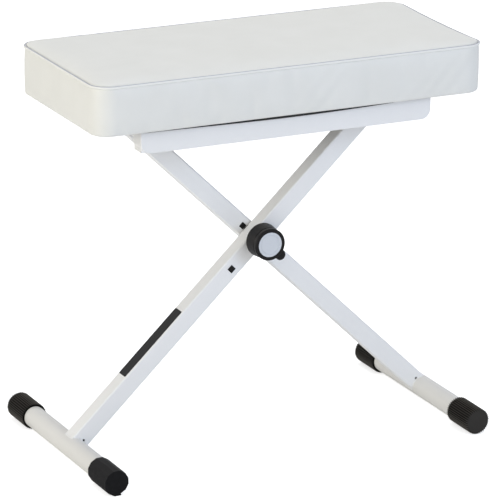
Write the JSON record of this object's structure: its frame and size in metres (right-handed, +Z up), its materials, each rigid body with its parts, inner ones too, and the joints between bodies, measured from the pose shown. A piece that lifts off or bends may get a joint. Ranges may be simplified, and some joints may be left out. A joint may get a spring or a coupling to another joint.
{
  "type": "folding keyboard bench",
  "caption": "Padded bench seat on a folding X stand with a clamp knob at the crossing, cross-tube feet with rubber caps and rails under the seat.",
  "frame": {"origin": "on the floor under the middle of the bench and the legs' crossing", "axes": "+X to the right along the seat's length, +Y to the back, +Z up"},
  "size_m": [0.5914, 0.346, 0.561],
  "materials": {
    "vinyl": "soft satin white vinyl with fine grain",
    "foam": "upholstery foam",
    "plywood": "raw plywood",
    "dust_cloth": "black non-woven cloth",
    "fastener": "zinc plated",
    "white_paint": "semi-gloss white powder coat",
    "black_nylon": "moulded nylon",
    "black_plastic": "moulded plastic, satin",
    "black_rubber": "moulded rubber, matte",
    "pale_inlay": "pale grey disc, plain"
  },
  "bodies": {
    "seat": {"cover_top": "vinyl", "cover_boxing": "vinyl", "cover_welt": "vinyl", "seat_foam": "foam", "seat_board": "plywood", "board_inserts": "fastener", "dust_cover": "dust_cloth", "dust_cover_staples": "fastener", "rail_screws": "fastener", "front_rail": "white_paint", "rear_rail": "white_paint", "front_pivot_block": "black_nylon", "rear_pivot_block": "black_nylon", "front_travel_stop": "black_nylon", "rear_travel_stop": "black_nylon"},
    "rear_leg": {"rear_leg_tube": "white_paint", "right_foot_tube": "white_paint", "rear_top_tube": "white_paint", "rear_top_journals": "black_nylon", "front_right_cap": "black_rubber", "rear_right_cap": "black_rubber", "rear_lock_disc": "fastener", "pivot_bolt": "fastener", "rear_leg_plugs": "black_nylon"},
    "front_leg": {"front_leg_tube": "white_paint", "left_foot_tube": "white_paint", "front_top_tube": "white_paint", "front_top_glides": "black_nylon", "rear_left_cap": "black_rubber", "front_lock_disc": "fastener", "front_leg_plugs": "black_nylon"},
    "clamp": {"pressure_cup": "fastener"},
    "knob": {"knob_body": "black_plastic", "knob_nut": "fastener", "knob_inlay": "pale_inlay"},
    "levelling_cap": {"front_left_levelling_cap": "black_rubber"}
  },
  "joints": [
    {"name": "rear_leg_hinge", "type": "hinge", "parent": "seat", "child": "rear_leg", "pos_m": [-0.19168, 0, 0.4689], "axis": [0, 1, 0], "range_deg": [-40.5, 4]},
    {"name": "leg_fold", "type": "hinge", "parent": "rear_leg", "child": "front_leg", "pos_m": [0, 0, 0.28476], "axis": [0, 1, 0], "range_deg": [-8, 81]},
    {"name": "clamp_slide", "type": "slide", "parent": "rear_leg", "child": "clamp", "axis": [0, -1, 0], "range_m": [0, 0.0025]},
    {"name": "knob_turn", "type": "hinge", "parent": "clamp", "child": "knob", "pos_m": [0, 0, 0.28476], "axis": [0, -1, 0], "range_deg": [0, 720]},
    {"name": "levelling_cap_turn", "type": "hinge", "parent": "front_leg", "child": "levelling_cap", "pos_m": [-0.27707, 0, 0.0186], "axis": [0, 1, 0], "continuous": true}
  ],
  "couplings": [
    {"joint": "rear_leg_hinge", "follows": "leg_fold", "ratio": -0.5},
    {"joint": "knob_turn", "follows": "clamp_slide", "rad_per_m": 5026.5}
  ]
}
